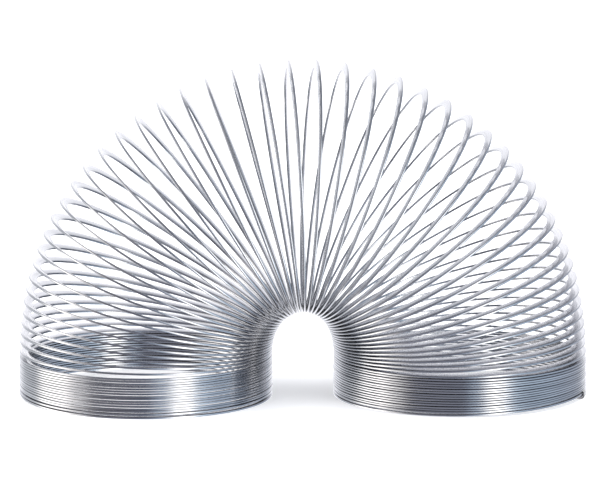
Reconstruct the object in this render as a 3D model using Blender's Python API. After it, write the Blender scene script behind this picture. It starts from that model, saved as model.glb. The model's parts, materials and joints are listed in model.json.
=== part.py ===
"""Spring coil toy: one flat steel wire wound into a coil that stands as an arch on its two closed ends.

Metres, +Z up. The arch lies in the XZ plane, X is across it and the origin is on the desk at its middle.
The wire is cut into turns where it passes the inside of the arch, because there it runs along Y, and one
turn bends against the next about that line. Turn numbers count along the wire from the left end.
"""
import bmesh
import bpy
from math import ceil, cos, floor, pi, sin
from mathutils import Vector

# The wire and the coil.
COIL_OUTER_RADIUS = 0.035
WIRE_WIDTH = 0.0025
WIRE_THICKNESS = 0.00058
STACK_TURNS = 16
ARCH_TURNS = 48
STACK_PITCH = 0.00069
CROWN_PITCH = 0.00085
FIRST_TILT_SHARE = 0.26      # tilt of the arch's first turn over that of its crown turn
WIRE_START = 0.45            # turns from the first inside line to the wire's left end
CUT_GAP = 0.00020            # between the end of one turn and the start of the next
FLAT_TURNS = 0.55            # length of the last turn that lies flat on the desk
SETTLED_TURNS = 1.0          # turns from the wire's end to where it runs on as a plain helix
SEGMENTS = 24                # per turn

# The end crimps: a strip folded round the last two turns, which rest on it.
STRIP = 0.00030
CRIMP_LENGTH = 0.0026
CRIMP_CLEARANCE = 0.00006
CRIMP_HOLLOW = 0.00030       # open fold under the wire's end
CRIMP_SETBACK = 0.004        # share of a turn from the wire's end to the crimp
LIFT_LOSS = 0.00008          # how much less each turn above a crimp is lifted than the last
LIFT_REACH = 0.22            # share of a turn over which a lift fades out
TONGUE_REACH = 0.55          # of the wire's width, how far the fold's lower lip passes under its middle
LIP_REACH = 0.30             # the same for the upper lip, over the wire

WIRE_RADIUS = COIL_OUTER_RADIUS - WIRE_WIDTH / 2
ALL_TURNS = ARCH_TURNS + 2 * STACK_TURNS
WIRE_END = ALL_TURNS - WIRE_START
STRAIGHT_UP = Vector((0, 0, 1))
BACKWARD = Vector((0, 1, 0))
STEPS_PER_TURN = 120         # for adding up the inside line
SHARP_ANGLE = pi / 6         # edges bent more than this are shaded sharp
CROWN_TILT = pi / (ARCH_TURNS * (1 + FIRST_TILT_SHARE) / 2)

STEEL = (0.62, 0.64, 0.70)
STEEL_ROUGHNESS = 0.28
CRIMP_STEEL = (0.66, 0.64, 0.60)
CRIMP_ROUGHNESS = 0.35


def clear_scene():
    for old in list(bpy.data.objects):
        bpy.data.objects.remove(old, do_unlink=True)


def metal(name, colour, roughness):
    made = bpy.data.materials.new(name)
    made.use_nodes = True
    shader = made.node_tree.nodes["Principled BSDF"]
    shader.inputs["Base Color"].default_value = (*colour, 1)
    shader.inputs["Metallic"].default_value = 1
    shader.inputs["Roughness"].default_value = roughness
    return made


def arch_share(turn):
    """Where a turn number lies along the arch: 0 on the left stack, 1 on the right one."""
    return min(max((turn - STACK_TURNS) / ARCH_TURNS, 0), 1)


def bend(turn):
    """How far the coil has bent over at a turn number, in radians. The tilt of each turn is lowest at the
    stacks and highest at the crown, and follows a raised sine squared between them."""
    share = arch_share(turn)
    wave = share / 2 - sin(2 * pi * share) / (4 * pi)
    return CROWN_TILT * ARCH_TURNS * (FIRST_TILT_SHARE * share + (1 - FIRST_TILT_SHARE) * wave)


def pitch(turn):
    return STACK_PITCH + (CROWN_PITCH - STACK_PITCH) * sin(pi * arch_share(turn)) ** 2


def along_coil(angle):
    """The coil's own axis once it has bent over by an angle: up at first, then right, then down."""
    return Vector((sin(angle), 0, cos(angle)))


def away_from_arch(angle):
    return Vector((-cos(angle), 0, sin(angle)))


def add_up_inside_line():
    """The line through the wire's inside passages, at STEPS_PER_TURN points a turn, symmetric about x = 0."""
    points = [Vector((0, 0, 0))]
    for step in range(ALL_TURNS * STEPS_PER_TURN):
        middle = (step + 0.5) / STEPS_PER_TURN
        points.append(points[-1] + along_coil(bend(middle)) * pitch(middle) / STEPS_PER_TURN)
    low = points[round(WIRE_START * STEPS_PER_TURN)].z
    shift = Vector((-points[-1].x / 2, 0, WIRE_THICKNESS / 2 - low))
    return [point + shift for point in points]


INSIDE_LINE = add_up_inside_line()


def inside_point(turn):
    place = turn * STEPS_PER_TURN
    before = min(int(place), len(INSIDE_LINE) - 2)
    return INSIDE_LINE[before].lerp(INSIDE_LINE[before + 1], place - before)


def crimp_levels():
    """Heights of the wire's centre at a crimp, from the last turn up to the first turn above the crimp."""
    last = STRIP + CRIMP_HOLLOW + WIRE_THICKNESS / 2
    second = last + WIRE_THICKNESS + CRIMP_CLEARANCE
    above = second + WIRE_THICKNESS + STRIP + 2 * CRIMP_CLEARANCE
    return last, second, above


def lift(turns_from_end):
    """How far the crimp under a stack lifts the wire, which is most over the crimp."""
    turn_above = floor(turns_from_end + 0.5)
    away = abs(turns_from_end - turn_above) / LIFT_REACH
    if away >= 1:
        return 0
    levels = crimp_levels()
    rise = levels[min(turn_above, 2)] - WIRE_THICKNESS / 2 - STACK_PITCH * min(turn_above, 2)
    rise -= LIFT_LOSS * max(turn_above - 2, 0)
    return max(rise, 0) * cos(pi / 2 * away) ** 2


def settle(turns_from_end):
    """How far the last turn drops from the helix to lie flat on the desk."""
    if turns_from_end < FLAT_TURNS:
        return STACK_PITCH * turns_from_end
    fade = min((turns_from_end - FLAT_TURNS) / (SETTLED_TURNS - FLAT_TURNS), 1)
    return STACK_PITCH * FLAT_TURNS * (1 - fade) ** 2 * (1 + 2 * fade)


def wire_frame(turn):
    """The wire's centre, its outward direction and its thickness direction at a turn number."""
    angle = bend(turn)
    outward = away_from_arch(angle)
    around = 2 * pi * turn
    across = BACKWARD * sin(around) - outward * cos(around)
    from_end = min(turn - WIRE_START, WIRE_END - turn)
    height = STRAIGHT_UP * (lift(from_end) - settle(from_end))
    centre = inside_point(turn) + outward * WIRE_RADIUS + across * WIRE_RADIUS + height
    return centre, across, along_coil(angle)


def new_object(name, mesh, material):
    mesh.materials.append(material)
    mesh.shade_smooth()
    mesh.set_sharp_from_angle(angle=SHARP_ANGLE)
    made = bpy.data.objects.new(name, mesh)
    bpy.context.scene.collection.objects.link(made)
    return made


def swept(name, rings, material):
    """A closed body through rings of equally many corners, with a flat face on each end."""
    shape = bmesh.new()
    made = [[shape.verts.new(corner) for corner in ring] for ring in rings]
    count = len(made[0])
    for near, far in zip(made, made[1:]):
        for corner in range(count):
            after = (corner + 1) % count
            shape.faces.new((near[corner], near[after], far[after], far[corner]))
    shape.faces.new(reversed(made[0]))
    shape.faces.new(made[-1])
    bmesh.ops.recalc_face_normals(shape, faces=shape.faces)
    bmesh.ops.triangulate(shape, faces=shape.faces)
    mesh = bpy.data.meshes.new(name)
    shape.to_mesh(mesh)
    shape.free()
    return new_object(name, mesh, material)


def wire_ring(turn):
    centre, across, along = wire_frame(turn)
    wide = across * WIRE_WIDTH / 2
    thick = along * WIRE_THICKNESS / 2
    return [centre - wide - thick, centre + wide - thick, centre + wide + thick, centre - wide + thick]


def wire_piece(name, start, end, material):
    """The stretch of wire between two turn numbers, with rings at whole steps of a turn between its ends."""
    first = floor(start * SEGMENTS) + 1
    last = ceil(end * SEGMENTS) - 1
    turns = [start] + [step / SEGMENTS for step in range(first, last + 1)] + [end]
    return swept(name, [wire_ring(turn) for turn in turns], material)


def crimp_profile():
    """Corners of the folded strip, as (distance out from the wire's centre, height over the desk)."""
    _, second, _ = crimp_levels()
    inside = WIRE_WIDTH / 2 + CRIMP_CLEARANCE
    outside = inside + STRIP
    lower = STRIP
    upper = second + WIRE_THICKNESS / 2 + CRIMP_CLEARANCE
    corner = STRIP
    tongue = -WIRE_WIDTH * TONGUE_REACH
    lip = -WIRE_WIDTH * LIP_REACH
    return [
        (tongue, 0), (outside - corner, 0), (outside, corner), (outside, upper + STRIP - corner / 2),
        (outside - corner / 2, upper + STRIP), (lip, upper + STRIP), (lip, upper), (inside, upper),
        (inside, lower + corner / 2), (inside - corner / 2, lower), (tongue, lower),
    ]


def end_crimp(name, turn, inward, material):
    """The folded strip over the wire's end at a turn number. inward is 1 where the wire goes on to higher
    turn numbers and -1 where it goes on to lower ones."""
    near = turn + inward * CRIMP_SETBACK
    middle, across, _ = wire_frame(near + inward * CRIMP_LENGTH / (4 * pi * WIRE_RADIUS))
    across = across.normalized()
    run = STRAIGHT_UP.cross(across)
    foot = Vector((middle.x, middle.y, 0))
    rings = []
    for side in (-CRIMP_LENGTH / 2, CRIMP_LENGTH / 2):
        base = foot + run * side
        rings.append([base + across * out + STRAIGHT_UP * up for out, up in crimp_profile()])
    return swept(name, rings, material)


def make_wire(material):
    half_gap = CUT_GAP / 2 / (2 * pi * WIRE_RADIUS)
    last_cut = ALL_TURNS - STACK_TURNS
    wire_piece("left_stack", WIRE_START, STACK_TURNS - half_gap, material)
    for number in range(1, ARCH_TURNS + 1):
        start = STACK_TURNS + number - 1
        wire_piece(f"arch_turn_{number:02d}", start + half_gap, start + 1 - half_gap, material)
    wire_piece("right_stack", last_cut + half_gap, WIRE_END, material)


def main():
    clear_scene()
    steel = metal("coil_steel", STEEL, STEEL_ROUGHNESS)
    crimp_steel = metal("crimp_steel", CRIMP_STEEL, CRIMP_ROUGHNESS)
    make_wire(steel)
    end_crimp("left_end_crimp", WIRE_START, 1, crimp_steel)
    end_crimp("right_end_crimp", WIRE_END, -1, crimp_steel)


main()
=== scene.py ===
"""Looks of the spring coil toy: a flat steel wire wound into a coil that stands as an arch."""
import json
from collections import namedtuple
from math import ceil, cos, dist, floor, pi, radians, sin

import bmesh
import bpy
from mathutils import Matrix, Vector

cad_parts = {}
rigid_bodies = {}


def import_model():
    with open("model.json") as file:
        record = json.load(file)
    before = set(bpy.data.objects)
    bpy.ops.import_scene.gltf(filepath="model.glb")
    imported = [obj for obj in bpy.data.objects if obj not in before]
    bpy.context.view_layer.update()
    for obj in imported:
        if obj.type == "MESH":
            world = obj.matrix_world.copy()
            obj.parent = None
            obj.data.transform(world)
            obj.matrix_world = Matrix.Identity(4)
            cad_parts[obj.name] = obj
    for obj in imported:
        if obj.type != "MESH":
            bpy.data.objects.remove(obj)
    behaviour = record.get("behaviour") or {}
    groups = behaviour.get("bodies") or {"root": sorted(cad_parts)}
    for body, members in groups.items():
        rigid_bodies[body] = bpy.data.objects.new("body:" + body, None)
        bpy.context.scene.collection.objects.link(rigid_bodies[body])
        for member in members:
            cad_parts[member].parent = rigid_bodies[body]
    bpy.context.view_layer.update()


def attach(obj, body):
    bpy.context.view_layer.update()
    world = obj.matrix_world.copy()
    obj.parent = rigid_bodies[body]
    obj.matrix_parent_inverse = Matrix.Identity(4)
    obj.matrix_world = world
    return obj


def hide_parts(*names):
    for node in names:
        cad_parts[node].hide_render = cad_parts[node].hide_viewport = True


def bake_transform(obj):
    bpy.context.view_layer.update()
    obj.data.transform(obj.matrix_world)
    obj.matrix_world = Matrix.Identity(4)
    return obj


# The coil, with the same sizes as in the CAD source. Turn numbers count along the wire from the left end.
COIL_OUTER_RADIUS = 0.035
WIRE_WIDTH = 0.0025
WIRE_THICKNESS = 0.00058
STACK_TURNS = 16
ARCH_TURNS = 48
STACK_PITCH = 0.00069
CROWN_PITCH = 0.00085
FIRST_TILT_SHARE = 0.26      # tilt of the arch's first turn over that of its crown turn
WIRE_START = 0.45            # turns from the first inside line to the wire's left end
FLAT_TURNS = 0.55            # length of the last turn that lies flat on the desk
SETTLED_TURNS = 1.0          # turns from the wire's end to where it runs on as a plain helix
STEPS_PER_TURN = 120         # for adding up the inside line

# The end crimps, with the same sizes as in the CAD source.
STRIP = 0.00030
CRIMP_LENGTH = 0.0026
CRIMP_CLEARANCE = 0.00006
CRIMP_HOLLOW = 0.00030       # open fold under the wire's end
CRIMP_SETBACK = 0.004        # share of a turn from the wire's end to the crimp
LIFT_LOSS = 0.00008          # how much less each turn above a crimp is lifted than the last
LIFT_REACH = 0.22            # share of a turn over which a lift fades out
TONGUE_REACH = 0.55          # of the wire's width, how far the fold's lower lip passes under its middle
LIP_REACH = 0.30             # the same for the upper lip, over the wire

WIRE_RADIUS = COIL_OUTER_RADIUS - WIRE_WIDTH / 2
ALL_TURNS = ARCH_TURNS + 2 * STACK_TURNS
WIRE_END = ALL_TURNS - WIRE_START
STRAIGHT_UP = Vector((0, 0, 1))
BACKWARD = Vector((0, 1, 0))
CROWN_TILT = pi / (ARCH_TURNS * (1 + FIRST_TILT_SHARE) / 2)

# What the visual wire adds.
DISH = 0.19                  # slope of the wire's flat faces across its width
DISH_FADE = 3.0              # turns from the wire's end over which the slope comes in
EDGE_RADIUS = 0.00013        # rounding of the wire's long edges
EDGE_STEPS = 2               # faces on each rounded edge
RINGS_PER_TURN = 112
SAME_TURN = 1e-6             # turn numbers nearer than this, in rings, are one
UNEVEN_FADE = 1.5            # turns from the wire's end over which its unevenness comes in

# Unevenness of the turns. A wave is its height, its radians per turn and its phase.
WANDER = 0.00007             # in and out
WANDER_LOSS = 0.6            # share of it that is gone in the arch
WANDER_LOSS_TURNS = 6        # turns past a closed stack over which it goes
WANDER_WAVES = ((1.0, 2.11, 0.0), (0.8, 3.47, 1.3), (0.7, 5.03, 0.4))
SWAY = 0.000055              # along the coil
SWAY_WAVES = ((1.0, 2 * pi * 0.41, 0.7), (0.6, 2 * pi * 0.187, 0.0))
WAVES_HEIGHT = 1.6           # height that each sum of waves is divided by

# The folded crimp strip.
LOW_BEND = 0.00060           # radius at the foot of its web
HIGH_BEND = 0.00042          # radius at the top
BEND_STEPS = 6
CORNER_CUT = 0.00035         # how far its free edges draw in at its two ends
TIP_BULGE = 0.7              # how far a free edge is rounded out, over half the strip's thickness
# Its sections: the share of its length that each stands at, and the share of CORNER_CUT there.
CRIMP_SECTIONS = ((0.0, 1.0), (0.10, 0.35), (0.25, 0.0), (0.75, 0.0), (0.90, 0.35), (1.0, 1.0))

SHARP_ANGLE = radians(50)    # edges bent more than this are shaded sharp

# The steels. A noise is its cells per metre along the wire and round its section, and its detail.
Finish = namedtuple("Finish", "dark light roughness rough_spread streak")
DRAWN_STEEL = Finish((0.55, 0.555, 0.58), (0.74, 0.745, 0.77), 0.15, 0.04, 0.40)
STRIP_STEEL = Finish((0.56, 0.54, 0.50), (0.76, 0.74, 0.70), 0.25, 0.08, 0.35)
STREAK_NOISE = ((25, 5200, 1), 2)
PATCH_NOISE = ((38, 420, 1), 3)
SCUFF_NOISE = ((260, 2200, 1), 2)
NOISE_SPAN = (0.3, 0.7)      # values of a noise between which its effect goes from none to full
STREAK_SPAN = (0.35, 0.65)
STREAK_GREY = 0.55           # grey of the darkest streaks
EDGE_SHADE_SPAN = (0.15, 0.85)   # the same for the painted shade on a rounded edge
# Painted shade: how far the middles of the wire's rounded edges are darkened, and the dark grey they go to.
# It stands in for the shade in the lines between neighbouring turns.
EDGE_SHADE_STRENGTH = 0.6
EDGE_SHADE_COLOUR = (0.10, 0.10, 0.11)
ANISOTROPY = 0.25
BUMP_STRENGTH = 0.12
BUMP_DISTANCE = 0.00002

# The camera, at the photograph's angle and far away with a long lens. Azimuths are in degrees: 0 is at the
# viewer's side and 90 on the right.
CAMERA_TARGET = Vector((-0.00079, 0, 0.0424))
CAMERA_AZIMUTH = -1.42
CAMERA_ELEVATION = 10.34
CAMERA_DISTANCE = 2.0
CAMERA_LENS = 434.8
CAMERA_SENSOR = 36
CAMERA_CLIP = (0.1, 50)

# The floor and the soft box overhead.
FLOOR_SIZE = 14
FLOOR_COLOUR = (0.92, 0.92, 0.93)
FLOOR_ROUGHNESS = 0.9
FLOOR_GLOW = 0.4
OVERHEAD_TARGET = Vector((0, 0, 0.04))
OVERHEAD_ELEVATION = 88
OVERHEAD_DISTANCE = 1.6
OVERHEAD_SIZE = 2.2
OVERHEAD_POWER = 45
OVERHEAD_COLOUR = (0.99, 0.99, 1.0)

# The studio that shows in the steel. Its walls are (azimuth, colour). A span is where the wall gives way to
# another colour, as the height of a direction, which is -1 straight down and 1 straight up.
STUDIO_STRENGTH = 3.0
CEILING_COLOUR = (0.11, 0.115, 0.13)
CEILING_SPAN = (0.35, 0.85)
DESK_COLOUR = (0.095, 0.100, 0.122)
DESK_SPAN = (-0.10, -0.45)
STUDIO_WALLS = (
    (-180, (0.44, 0.44, 0.46)),
    (-158, (0.38, 0.385, 0.405)),
    (-140, (0.24, 0.25, 0.265)),
    (-122, (0.24, 0.25, 0.265)),
    (-104, (0.78, 0.76, 0.73)),
    (-84, (0.78, 0.75, 0.72)),
    (-66, (0.32, 0.315, 0.315)),
    (-48, (0.075, 0.075, 0.086)),
    (-20, (0.070, 0.071, 0.085)),
    (-2, (0.055, 0.061, 0.080)),
    (15, (0.17, 0.20, 0.245)),
    (35, (0.98, 0.97, 0.95)),
    (53, (0.24, 0.29, 0.345)),
    (68, (0.165, 0.20, 0.245)),
    (92, (0.175, 0.21, 0.255)),
    (112, (0.17, 0.195, 0.235)),
    (140, (0.17, 0.185, 0.215)),
    (158, (0.36, 0.365, 0.385)),
    (180, (0.44, 0.44, 0.46)),
)


def arch_share(turn):
    """Where a turn number lies along the arch: 0 on the left stack, 1 on the right one."""
    return min(max((turn - STACK_TURNS) / ARCH_TURNS, 0), 1)


def bend(turn):
    """How far the coil has bent over at a turn number, in radians."""
    share = arch_share(turn)
    wave = share / 2 - sin(2 * pi * share) / (4 * pi)
    return CROWN_TILT * ARCH_TURNS * (FIRST_TILT_SHARE * share + (1 - FIRST_TILT_SHARE) * wave)


def pitch(turn):
    return STACK_PITCH + (CROWN_PITCH - STACK_PITCH) * sin(pi * arch_share(turn)) ** 2


def along_coil(angle):
    """The coil's own axis once it has bent over by an angle: up at first, then right, then down."""
    return Vector((sin(angle), 0, cos(angle)))


def away_from_arch(angle):
    return Vector((-cos(angle), 0, sin(angle)))


def add_up_inside_line():
    """The line through the wire's inside passages, at STEPS_PER_TURN points a turn, centred on x = 0."""
    points = [Vector((0, 0, 0))]
    for step in range(ALL_TURNS * STEPS_PER_TURN):
        middle = (step + 0.5) / STEPS_PER_TURN
        points.append(points[-1] + along_coil(bend(middle)) * pitch(middle) / STEPS_PER_TURN)
    low = points[round(WIRE_START * STEPS_PER_TURN)].z
    shift = Vector((-points[-1].x / 2, 0, WIRE_THICKNESS / 2 - low))
    return [point + shift for point in points]


INSIDE_LINE = add_up_inside_line()


def inside_point(turn):
    place = turn * STEPS_PER_TURN
    before = min(int(place), len(INSIDE_LINE) - 2)
    return INSIDE_LINE[before].lerp(INSIDE_LINE[before + 1], place - before)


def crimp_levels():
    """Heights of the wire's centre at a crimp, from the last turn up to the first turn above the crimp."""
    last = STRIP + CRIMP_HOLLOW + WIRE_THICKNESS / 2
    second = last + WIRE_THICKNESS + CRIMP_CLEARANCE
    above = second + WIRE_THICKNESS + STRIP + 2 * CRIMP_CLEARANCE
    return last, second, above


def lift(turns_from_end):
    """How far the crimp under a stack lifts the wire, which is most over the crimp."""
    turn_above = floor(turns_from_end + 0.5)
    away = abs(turns_from_end - turn_above) / LIFT_REACH
    if away >= 1:
        return 0
    levels = crimp_levels()
    rise = levels[min(turn_above, 2)] - WIRE_THICKNESS / 2 - STACK_PITCH * min(turn_above, 2)
    rise -= LIFT_LOSS * max(turn_above - 2, 0)
    return max(rise, 0) * cos(pi / 2 * away) ** 2


def settle(turns_from_end):
    """How far the last turn drops from the helix to lie flat on the desk."""
    if turns_from_end < FLAT_TURNS:
        return STACK_PITCH * turns_from_end
    fade = min((turns_from_end - FLAT_TURNS) / (SETTLED_TURNS - FLAT_TURNS), 1)
    return STACK_PITCH * FLAT_TURNS * (1 - fade) ** 2 * (1 + 2 * fade)


def from_nearer_end(turn):
    """Turns from the nearer end of the wire to a turn number."""
    return min(turn - WIRE_START, WIRE_END - turn)


def wire_frame(turn):
    """The wire's centre, its outward direction and its thickness direction at a turn number."""
    angle = bend(turn)
    outward = away_from_arch(angle)
    around = 2 * pi * turn
    across = BACKWARD * sin(around) - outward * cos(around)
    from_end = from_nearer_end(turn)
    height = STRAIGHT_UP * (lift(from_end) - settle(from_end))
    centre = inside_point(turn) + outward * WIRE_RADIUS + across * WIRE_RADIUS + height
    return centre, across, along_coil(angle)


def add_up(waves, turn):
    return sum(height * sin(rate * turn + phase) for height, rate, phase in waves)


def wander(turn):
    """How far the wire sits out of line at a turn number, in or out: most in the closed stacks, none at the
    wire's ends."""
    from_end = from_nearer_end(turn)
    fade_in = min(from_end / UNEVEN_FADE, 1)
    kept = 1 - WANDER_LOSS * min(max(from_end - STACK_TURNS, 0) / WANDER_LOSS_TURNS, 1)
    return WANDER * fade_in * kept * add_up(WANDER_WAVES, turn) / WAVES_HEIGHT


def sway(turn):
    """How far the wire sits out of its even spacing at a turn number, along the coil. It is little enough
    that neighbouring turns stay clear of each other."""
    fade_in = min(from_nearer_end(turn) / UNEVEN_FADE, 1)
    return SWAY * fade_in * add_up(SWAY_WAVES, turn) / WAVES_HEIGHT


def wire_profile():
    """Corners of the wire's section, as (across, along) from its middle, with rounded edges. They go round
    once from the outer edge."""
    half_wide = WIRE_WIDTH / 2
    half_thick = WIRE_THICKNESS / 2
    corners = []
    for quarter, (side, face) in enumerate(((1, 1), (-1, 1), (-1, -1), (1, -1))):
        for step in range(EDGE_STEPS + 1):
            turn = pi / 2 * (quarter + step / EDGE_STEPS)
            corners.append((
                side * (half_wide - EDGE_RADIUS) + EDGE_RADIUS * cos(turn),
                face * (half_thick - EDGE_RADIUS) + EDGE_RADIUS * sin(turn),
            ))
    return corners


def edge_shade_marks():
    """Which corners of the profile are the middles of its rounded edges, as ones and zeros: where the steel
    gets its painted shade.
    """
    arc = [1.0 if step == EDGE_STEPS // 2 else 0.0 for step in range(EDGE_STEPS + 1)]
    return arc * 4


def section_steps(profile):
    """Distances round a section, from each corner to the next."""
    return [dist(here, there) for here, there in zip(profile, profile[1:] + profile[:1])]


PROFILE = wire_profile()
PROFILE_EDGE_SHADE = edge_shade_marks()
PROFILE_STEPS = section_steps(PROFILE)


def wire_ring(turn):
    """Corners of the wire's section at a turn number, dished and out of line."""
    centre, across, along = wire_frame(turn)
    share = min(max(from_nearer_end(turn) / DISH_FADE, 0), 1)
    slope = DISH * share * share * (3 - 2 * share)
    wide = (across + along * slope).normalized()
    thick = (along - across * slope).normalized()
    centre = centre + across * wander(turn) + along * sway(turn)
    return [centre + wide * a + thick * b for a, b in PROFILE]


def swept(name, rings, distances, steps, marks):
    """A closed body through rings of corners, with a flat face on each end. One UV layer holds metres along
    the body, by the rings' distances, and round its section, by the steps. The other holds each corner's
    share of painted shade, which darkens the rounded edges."""
    shape = bmesh.new()
    metres_uv = shape.loops.layers.uv.new("metres")
    shade_marks_uv = shape.loops.layers.uv.new("marks")
    corners = [[shape.verts.new(corner) for corner in ring] for ring in rings]
    count = len(corners[0])
    rounds = [0.0]
    for step in steps:
        rounds.append(rounds[-1] + step)
    for place, (near, far) in enumerate(zip(corners, corners[1:])):
        for corner in range(count):
            after = (corner + 1) % count
            face = shape.faces.new((near[corner], near[after], far[after], far[corner]))
            places = (
                (distances[place], rounds[corner]),
                (distances[place], rounds[corner + 1]),
                (distances[place + 1], rounds[corner + 1]),
                (distances[place + 1], rounds[corner]),
            )
            face_shade_marks = (marks[corner], marks[after], marks[after], marks[corner])
            for loop, where, shade_mark in zip(face.loops, places, face_shade_marks):
                loop[metres_uv].uv = where
                loop[shade_marks_uv].uv = (shade_mark, 0)
    shape.faces.new(reversed(corners[0]))
    shape.faces.new(corners[-1])
    bmesh.ops.recalc_face_normals(shape, faces=shape.faces)
    mesh = bpy.data.meshes.new(name)
    shape.to_mesh(mesh)
    shape.free()
    mesh.shade_smooth()
    mesh.set_sharp_from_angle(angle=SHARP_ANGLE)
    body = bpy.data.objects.new(name, mesh)
    bpy.context.scene.collection.objects.link(body)
    return body


def wire_piece(name, start, end, material):
    """The stretch of wire between two turn numbers, with rings at whole steps of a turn between its ends."""
    first = floor(start * RINGS_PER_TURN + SAME_TURN) + 1
    last = ceil(end * RINGS_PER_TURN - SAME_TURN) - 1
    turns = [start] + [step / RINGS_PER_TURN for step in range(first, last + 1)] + [end]
    rings = [wire_ring(turn) for turn in turns]
    distances = [turn * 2 * pi * WIRE_RADIUS for turn in turns]
    piece = swept(name, rings, distances, PROFILE_STEPS, PROFILE_EDGE_SHADE)
    piece.data.materials.append(material)
    return piece


def bend_half(piece, cut, tip):
    """Bakes the placement of half a turn, between a tip and a cut, into its mesh. It is attached to neither
    body at the cut.
    """
    at_cut = wire_frame(cut)[0]
    at_tip = wire_frame(tip)[0]
    if tip < cut:
        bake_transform(piece)
    else:
        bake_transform(piece)


def along_wire(name_of_turn):
    """The names along the wire: the left stack, each turn of the arch, the right stack."""
    turns = [name_of_turn.format(number) for number in range(1, ARCH_TURNS + 1)]
    return ["left_stack", *turns, "right_stack"]


def make_wire(material):
    """The two closed stacks, and between them two half turns at each cut."""
    nodes = along_wire("arch_turn_{:02d}")
    last_cut = ALL_TURNS - STACK_TURNS
    closed = wire_piece("left_stack_wire", WIRE_START, STACK_TURNS - 0.5, material)
    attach(closed, "left_stack")
    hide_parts("left_stack")
    for place in range(ARCH_TURNS + 1):
        cut = STACK_TURNS + place
        for owner, label, tip in ((nodes[place], "front", cut - 0.5), (nodes[place + 1], "back", cut + 0.5)):
            piece = wire_piece(f"{owner}_{label}", min(cut, tip), max(cut, tip), material)
            bend_half(piece, cut, tip)
            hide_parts(owner)
    closed = wire_piece("right_stack_wire", last_cut + 0.5, WIRE_END, material)
    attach(closed, "right_stack")
    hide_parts("right_stack")


def feed(tree, socket, value):
    """Sets a node's input to a number or a colour, or links another node's output to it."""
    if isinstance(value, bpy.types.NodeSocket):
        tree.links.new(value, socket)
    elif isinstance(value, tuple):
        socket.default_value = (*value, 1)
    else:
        socket.default_value = value


def faded(tree, value, span, low=0.0, high=1.0, interpolation="LINEAR"):
    """Goes from low to high while the value goes through the span."""
    made = tree.nodes.new("ShaderNodeMapRange")
    made.interpolation_type = interpolation
    made.inputs["From Min"].default_value = span[0]
    made.inputs["From Max"].default_value = span[1]
    made.inputs["To Min"].default_value = low
    made.inputs["To Max"].default_value = high
    tree.links.new(value, made.inputs["Value"])
    return made.outputs["Result"]


def mixed(tree, share, first, second, blend="MIX"):
    """Two colours mixed or blended by a share."""
    made = tree.nodes.new("ShaderNodeMix")
    made.data_type = "RGBA"
    made.blend_type = blend
    feed(tree, made.inputs["Factor"], share)
    feed(tree, made.inputs["A"], first)
    feed(tree, made.inputs["B"], second)
    return made.outputs["Result"]


def uv_layer(tree, name):
    made = tree.nodes.new("ShaderNodeUVMap")
    made.uv_map = name
    return made.outputs["UV"]


def noise(tree, coordinates, cells, detail):
    stretch = tree.nodes.new("ShaderNodeMapping")
    stretch.inputs["Scale"].default_value = cells
    tree.links.new(coordinates, stretch.inputs["Vector"])
    texture = tree.nodes.new("ShaderNodeTexNoise")
    texture.inputs["Scale"].default_value = 1.0
    texture.inputs["Detail"].default_value = detail
    texture.inputs["Roughness"].default_value = 0.5
    tree.links.new(stretch.outputs["Vector"], texture.inputs["Vector"])
    return texture.outputs["Fac"]


def steel(name, finish):
    """Drawn steel: streaks along the wire, slow changes of tint, small scuffs, and painted shade on the
    rounded edges, where neighbouring turns meet.
    """
    made = bpy.data.materials.new(name)
    made.use_nodes = True
    tree = made.node_tree
    link = tree.links.new
    shader = tree.nodes["Principled BSDF"]
    shader.inputs["Metallic"].default_value = 1
    shader.inputs["Anisotropic"].default_value = ANISOTROPY

    metres = uv_layer(tree, "metres")
    streaks = noise(tree, metres, *STREAK_NOISE)
    patches = noise(tree, metres, *PATCH_NOISE)
    scuffs = noise(tree, metres, *SCUFF_NOISE)

    tint = mixed(tree, faded(tree, patches, NOISE_SPAN), finish.dark, finish.light)
    grey = faded(tree, streaks, STREAK_SPAN, low=STREAK_GREY)
    lined = mixed(tree, finish.streak, tint, grey, blend="MULTIPLY")

    # Painted shade: the middles of the wire's rounded edges are darkened, standing in for the shade between
    # neighbouring turns.
    marks = tree.nodes.new("ShaderNodeSeparateXYZ")
    link(uv_layer(tree, "marks"), marks.inputs["Vector"])
    edge_shade = faded(tree, marks.outputs["X"], EDGE_SHADE_SPAN, high=EDGE_SHADE_STRENGTH)
    link(mixed(tree, edge_shade, lined, EDGE_SHADE_COLOUR), shader.inputs["Base Color"])

    smoothest = finish.roughness - finish.rough_spread
    roughest = finish.roughness + finish.rough_spread
    link(faded(tree, scuffs, NOISE_SPAN, smoothest, roughest), shader.inputs["Roughness"])

    bump = tree.nodes.new("ShaderNodeBump")
    bump.inputs["Strength"].default_value = BUMP_STRENGTH
    bump.inputs["Distance"].default_value = BUMP_DISTANCE
    link(streaks, bump.inputs["Height"])
    link(bump.outputs["Normal"], shader.inputs["Normal"])
    return made


def folded_path(shorten):
    """Middle line of the folded strip, as (distance out from the wire's centre, height over the desk): out
    under the wire, round and up outside it, and back over it. shorten draws in its two free edges."""
    _, second, _ = crimp_levels()
    out = WIRE_WIDTH / 2 + CRIMP_CLEARANCE + STRIP / 2
    low = STRIP / 2
    high = second + WIRE_THICKNESS / 2 + CRIMP_CLEARANCE + STRIP / 2
    path = [(shorten - WIRE_WIDTH * TONGUE_REACH, low), (out - LOW_BEND, low)]
    for step in range(1, BEND_STEPS + 1):
        turn = pi / 2 * step / BEND_STEPS
        path.append((out - LOW_BEND * (1 - sin(turn)), low + LOW_BEND * (1 - cos(turn))))
    for step in range(BEND_STEPS + 1):
        turn = pi / 2 * step / BEND_STEPS
        path.append((out - HIGH_BEND * (1 - cos(turn)), high - HIGH_BEND * (1 - sin(turn))))
    path.append((shorten - WIRE_WIDTH * LIP_REACH, high))
    return path


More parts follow.
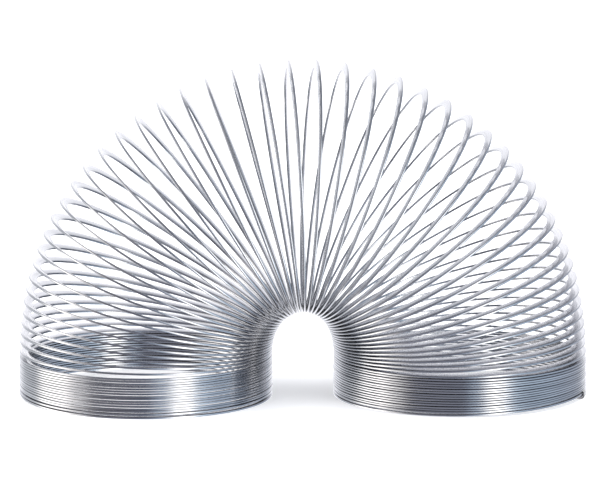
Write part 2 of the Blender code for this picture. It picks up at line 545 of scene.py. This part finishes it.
def thickened(path, half):
    """The outline of a strip along a path: along one side, round its end, back along the other side and
    round its start. half is half its thickness."""
    headings, one_side, other_side = [], [], []
    for place, (x, y) in enumerate(path):
        before = path[max(place - 1, 0)]
        after = path[min(place + 1, len(path) - 1)]
        length = dist(before, after)
        dx = (after[0] - before[0]) / length
        dy = (after[1] - before[1]) / length
        headings.append((dx, dy))
        one_side.append((x + dy * half, y - dx * half))
        other_side.append((x - dy * half, y + dx * half))
    bulge = half * TIP_BULGE
    end_tip = (path[-1][0] + headings[-1][0] * bulge, path[-1][1] + headings[-1][1] * bulge)
    start_tip = (path[0][0] - headings[0][0] * bulge, path[0][1] - headings[0][1] * bulge)
    return one_side + [end_tip] + other_side[::-1] + [start_tip]


def end_crimp(name, turn, inward, material):
    """The folded strip over the wire's end at a turn number. inward is 1 where the wire goes on to higher
    turn numbers and -1 where it goes on to lower ones."""
    near = turn + inward * CRIMP_SETBACK
    middle, across, _ = wire_frame(near + inward * CRIMP_LENGTH / (4 * pi * WIRE_RADIUS))
    across = across.normalized()
    run = STRAIGHT_UP.cross(across)
    foot = Vector((middle.x, middle.y, 0))
    distances = []
    rings = []
    for share, cut in CRIMP_SECTIONS:
        distance = CRIMP_LENGTH / 2 * (2 * share - 1)
        base = foot + run * distance
        profile = thickened(folded_path(CORNER_CUT * cut), STRIP / 2)
        rings.append([base + across * out + STRAIGHT_UP * up for out, up in profile])
        distances.append(distance)
    piece = swept(name, rings, distances, section_steps(profile), [0.0] * len(profile))
    piece.data.materials.append(material)
    return piece


def make_crimps(material):
    left = end_crimp("left_crimp_strip", WIRE_START, 1, material)
    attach(left, "left_stack")
    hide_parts("left_end_crimp")
    right = end_crimp("right_crimp_strip", WIRE_END, -1, material)
    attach(right, "right_stack")
    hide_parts("right_end_crimp")


def make_floor():
    """A pale floor that glows a little. It neither shows in the steel nor shades it."""
    bpy.ops.mesh.primitive_plane_add(size=FLOOR_SIZE)
    ground = bpy.context.object
    ground.name = "floor"
    made = bpy.data.materials.new("floor")
    made.use_nodes = True
    shader = made.node_tree.nodes["Principled BSDF"]
    shader.inputs["Base Color"].default_value = (*FLOOR_COLOUR, 1)
    shader.inputs["Roughness"].default_value = FLOOR_ROUGHNESS
    shader.inputs["Emission Color"].default_value = (1, 1, 1, 1)
    shader.inputs["Emission Strength"].default_value = FLOOR_GLOW
    ground.data.materials.append(made)
    ground.visible_glossy = False
    ground.visible_shadow = False


def toward(azimuth, elevation):
    """The direction from the object to an azimuth and an elevation in degrees."""
    a = radians(azimuth)
    e = radians(elevation)
    return Vector((sin(a) * cos(e), -cos(a) * cos(e), sin(e)))


def make_camera():
    back = toward(CAMERA_AZIMUTH, CAMERA_ELEVATION)
    data = bpy.data.cameras.new("camera")
    data.sensor_width = CAMERA_SENSOR
    data.lens = CAMERA_LENS
    data.clip_start, data.clip_end = CAMERA_CLIP
    camera = bpy.data.objects.new("camera", data)
    camera.location = CAMERA_TARGET + back * CAMERA_DISTANCE
    camera.rotation_mode = "QUATERNION"
    camera.rotation_quaternion = (-back).to_track_quat("-Z", "Y")
    bpy.context.scene.collection.objects.link(camera)
    bpy.context.scene.camera = camera


def make_overhead_light():
    """A soft box that the steel doesn't reflect as such."""
    back = toward(0, OVERHEAD_ELEVATION)
    data = bpy.data.lights.new("top", "AREA")
    data.shape = "SQUARE"
    data.size = OVERHEAD_SIZE
    data.energy = OVERHEAD_POWER
    data.color = OVERHEAD_COLOUR
    light = bpy.data.objects.new("top", data)
    light.location = OVERHEAD_TARGET + back * OVERHEAD_DISTANCE
    light.rotation_mode = "QUATERNION"
    light.rotation_quaternion = back.to_track_quat("Z", "Y")
    light.visible_glossy = False
    bpy.context.scene.collection.objects.link(light)


def studio_walls(tree, parts):
    """The colour of the walls in a direction, given by its parts, by azimuth alone."""
    toward_viewer = tree.nodes.new("ShaderNodeMath")
    toward_viewer.operation = "MULTIPLY"
    toward_viewer.inputs[1].default_value = -1
    tree.links.new(parts.outputs["Y"], toward_viewer.inputs[0])
    azimuth = tree.nodes.new("ShaderNodeMath")
    azimuth.operation = "ARCTAN2"
    tree.links.new(parts.outputs["X"], azimuth.inputs[0])
    tree.links.new(toward_viewer.outputs["Value"], azimuth.inputs[1])
    walls = tree.nodes.new("ShaderNodeValToRGB")
    walls.color_ramp.interpolation = "EASE"
    stops = walls.color_ramp.elements
    stops[0].position = 0
    stops[1].position = 1
    for degrees, _ in STUDIO_WALLS[1:-1]:
        stops.new((degrees + 180) / 360)
    for stop, (_, colour) in zip(stops, STUDIO_WALLS):
        stop.color = (*colour, 1)
    tree.links.new(faded(tree, azimuth.outputs["Value"], (-pi, pi)), walls.inputs["Fac"])
    return walls.outputs["Color"]


def make_world():
    """A studio seen in the steel: a broad pale strip on the left, a narrow bright one front right, a pale
    backdrop behind, and dull walls between them, with a dim ceiling and desk. What the camera itself sees
    behind the coil is plain white."""
    world = bpy.data.worlds.new("world")
    bpy.context.scene.world = world
    world.use_nodes = True
    tree = world.node_tree
    link = tree.links.new
    direction = tree.nodes.new("ShaderNodeTexCoord")
    parts = tree.nodes.new("ShaderNodeSeparateXYZ")
    link(direction.outputs["Generated"], parts.inputs["Vector"])

    walls = studio_walls(tree, parts)
    desk_share = faded(tree, parts.outputs["Z"], DESK_SPAN, interpolation="SMOOTHSTEP")
    ceiling_share = faded(tree, parts.outputs["Z"], CEILING_SPAN, interpolation="SMOOTHSTEP")
    with_desk = mixed(tree, desk_share, walls, DESK_COLOUR, blend="LIGHTEN")
    studio = mixed(tree, ceiling_share, with_desk, CEILING_COLOUR)

    path = tree.nodes.new("ShaderNodeLightPath")
    white = (1 / STUDIO_STRENGTH,) * 3
    shown = mixed(tree, path.outputs["Is Camera Ray"], studio, white)
    background = tree.nodes["Background"]
    link(shown, background.inputs["Color"])
    background.inputs["Strength"].default_value = STUDIO_STRENGTH


def main():
    for old in list(bpy.data.objects):
        bpy.data.objects.remove(old, do_unlink=True)
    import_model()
    make_camera()
    make_floor()
    make_world()
    make_overhead_light()
    bpy.context.scene.view_settings.view_transform = "Standard"
    make_wire(steel("drawn_steel", DRAWN_STEEL))
    make_crimps(steel("strip_steel", STRIP_STEEL))
    bpy.context.view_layer.update()


main()
